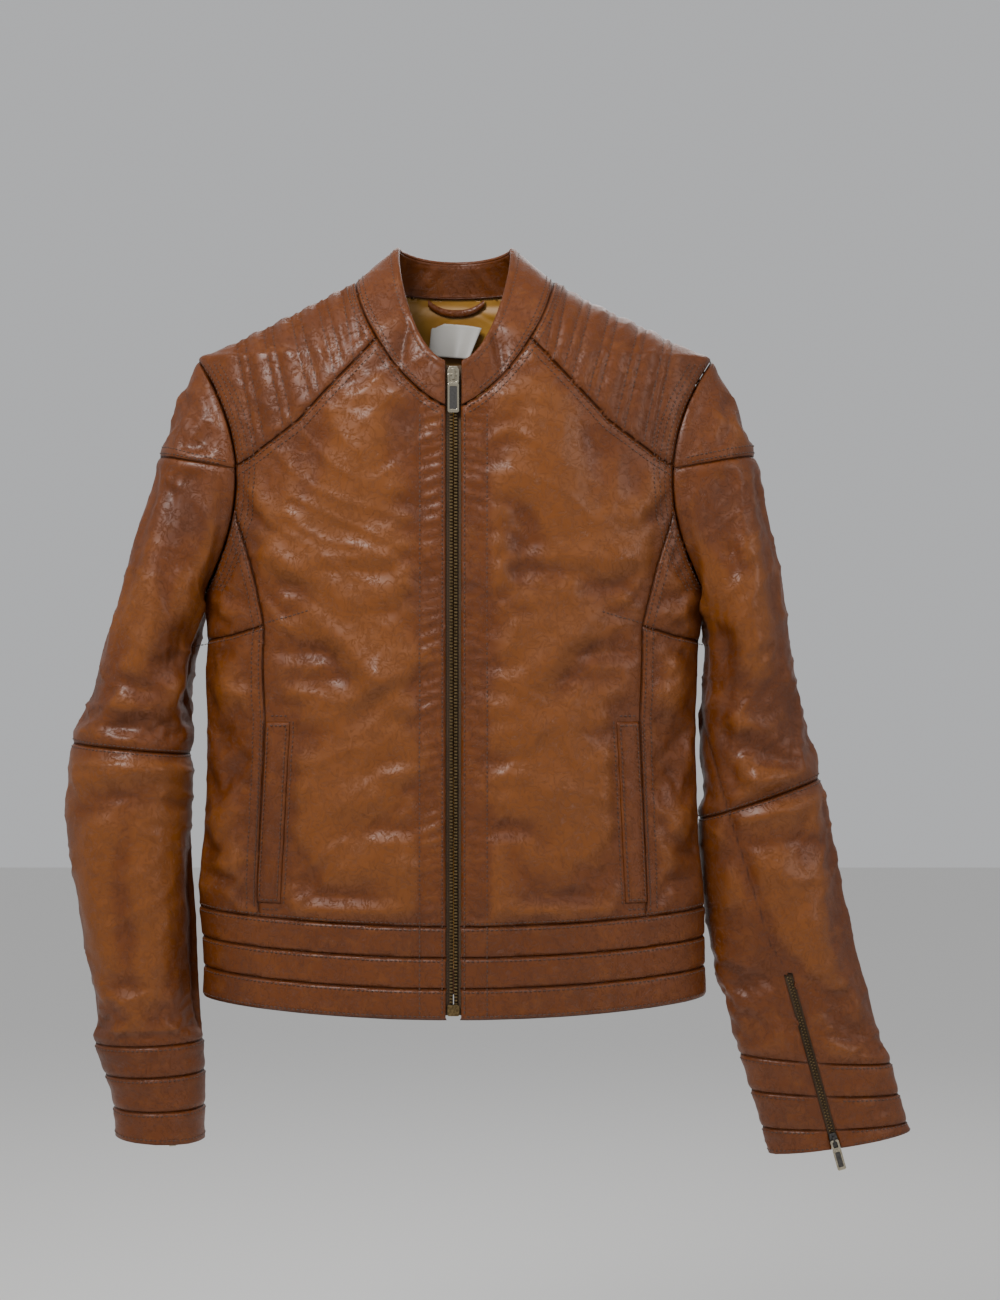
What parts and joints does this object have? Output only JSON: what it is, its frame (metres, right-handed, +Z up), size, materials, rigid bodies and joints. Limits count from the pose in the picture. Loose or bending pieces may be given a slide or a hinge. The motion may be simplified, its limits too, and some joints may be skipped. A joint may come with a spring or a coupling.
{
  "type": "leather riding jacket",
  "caption": "Cognac leather riding jacket with quilted yokes, stand collar, front zip, pockets and zipped cuffs, hanging closed.",
  "frame": {"origin": "midway between the two high shoulder points, where the collar meets the shoulders", "axes": "+X to the wearer's left, -Y to the front, +Z up"},
  "size_m": [0.676, 0.1348, 0.7382],
  "materials": {
    "leather": "semi-gloss cognac lambskin with fine creases and same-colour topstitching",
    "lining": "satin weave, mustard",
    "zip_tape": "woven zip tape, brown",
    "zip_teeth": "antique brass",
    "slider_metal": "polished nickel plate",
    "label": "plain satin, silver grey"
  },
  "bodies": {
    "jacket": {"hem_band_1": "leather", "hem_band_2": "leather", "hem_band_3": "leather", "back_panel": "leather", "left_yoke": "leather", "left_front_panel": "leather", "left_front_side_upper": "leather", "left_front_side_lower": "leather", "left_back_side": "leather", "right_yoke": "leather", "right_front_panel": "leather", "right_front_side_upper": "leather", "right_front_side_lower": "leather", "right_back_side": "leather", "collar_outer": "leather", "collar_inner": "leather", "back_neck_facing": "leather", "back_lining": "lining", "left_front_facing": "leather", "right_front_facing": "leather", "left_front_lining": "lining", "right_front_lining": "lining", "left_pocket_welt": "leather", "left_pocket_bag": "lining", "right_pocket_welt": "leather", "right_pocket_bag": "lining", "hanging_loop": "leather", "label": "label", "left_zip_teeth": "zip_teeth", "left_zip_tape": "zip_tape", "right_zip_teeth": "zip_teeth", "right_zip_tape": "zip_tape", "zip_retainer_box": "zip_teeth", "right_sleeve_cap": "leather", "right_upper_sleeve": "leather", "right_upper_sleeve_lining": "lining", "left_sleeve_cap": "leather", "left_upper_sleeve": "leather", "left_upper_sleeve_lining": "lining"},
    "left_forearm": {"left_forearm": "leather", "left_cuff_band_1": "leather", "left_cuff_band_2": "leather", "left_cuff_band_3": "leather", "left_forearm_lining": "lining", "left_cuff_zip_tape": "zip_tape", "left_cuff_zip_teeth": "zip_teeth"},
    "right_forearm": {"right_forearm": "leather", "right_cuff_band_1": "leather", "right_cuff_band_2": "leather", "right_cuff_band_3": "leather", "right_forearm_lining": "lining", "right_cuff_zip_tape": "zip_tape", "right_cuff_zip_teeth": "zip_teeth"},
    "main_slider": {"zip_slider": "slider_metal"},
    "main_pull": {"zip_pull": "slider_metal"},
    "left_cuff_slider": {"left_cuff_zip_slider": "slider_metal"},
    "left_cuff_pull": {"left_cuff_zip_pull": "slider_metal"},
    "right_cuff_slider": {"right_cuff_zip_slider": "slider_metal"},
    "right_cuff_pull": {"right_cuff_zip_pull": "slider_metal"}
  },
  "joints": [
    {"name": "left_elbow", "type": "hinge", "parent": "jacket", "child": "left_forearm", "pos_m": [0.245, -0.026, -0.4145], "axis": [-0.9457, 0, -0.3251], "range_deg": [0, 75]},
    {"name": "right_elbow", "type": "hinge", "parent": "jacket", "child": "right_forearm", "pos_m": [-0.2595, -0.045, -0.3735], "axis": [-0.9954, 0, 0.0963], "range_deg": [0, 75]},
    {"name": "main_zip", "type": "slide", "parent": "jacket", "child": "main_slider", "axis": [0, 0, -1], "range_m": [0, 0.48]},
    {"name": "main_pull_swing", "type": "hinge", "parent": "main_slider", "child": "main_pull", "pos_m": [0, -0.0728, -0.082], "axis": [-1, 0, 0], "range_deg": [0, 150]},
    {"name": "left_cuff_zip", "type": "slide", "parent": "left_forearm", "child": "left_cuff_slider", "axis": [-0.268, -0.0347, 0.9628], "range_m": [0, 0.13]},
    {"name": "left_cuff_pull_swing", "type": "hinge", "parent": "left_cuff_slider", "child": "left_cuff_pull", "pos_m": [0.30233, -0.01654, -0.68619], "axis": [-0.9634, 0, -0.2681], "range_deg": [0, 150]},
    {"name": "right_cuff_zip", "type": "slide", "parent": "right_forearm", "child": "right_cuff_slider", "axis": [-0.096, 0.0275, 0.995], "range_m": [0, 0.13]},
    {"name": "right_cuff_pull_swing", "type": "hinge", "parent": "right_cuff_slider", "child": "right_cuff_pull", "pos_m": [-0.23482, 0.03843, -0.67829], "axis": [0.9954, 0, 0.096], "range_deg": [0, 150]}
  ]
}
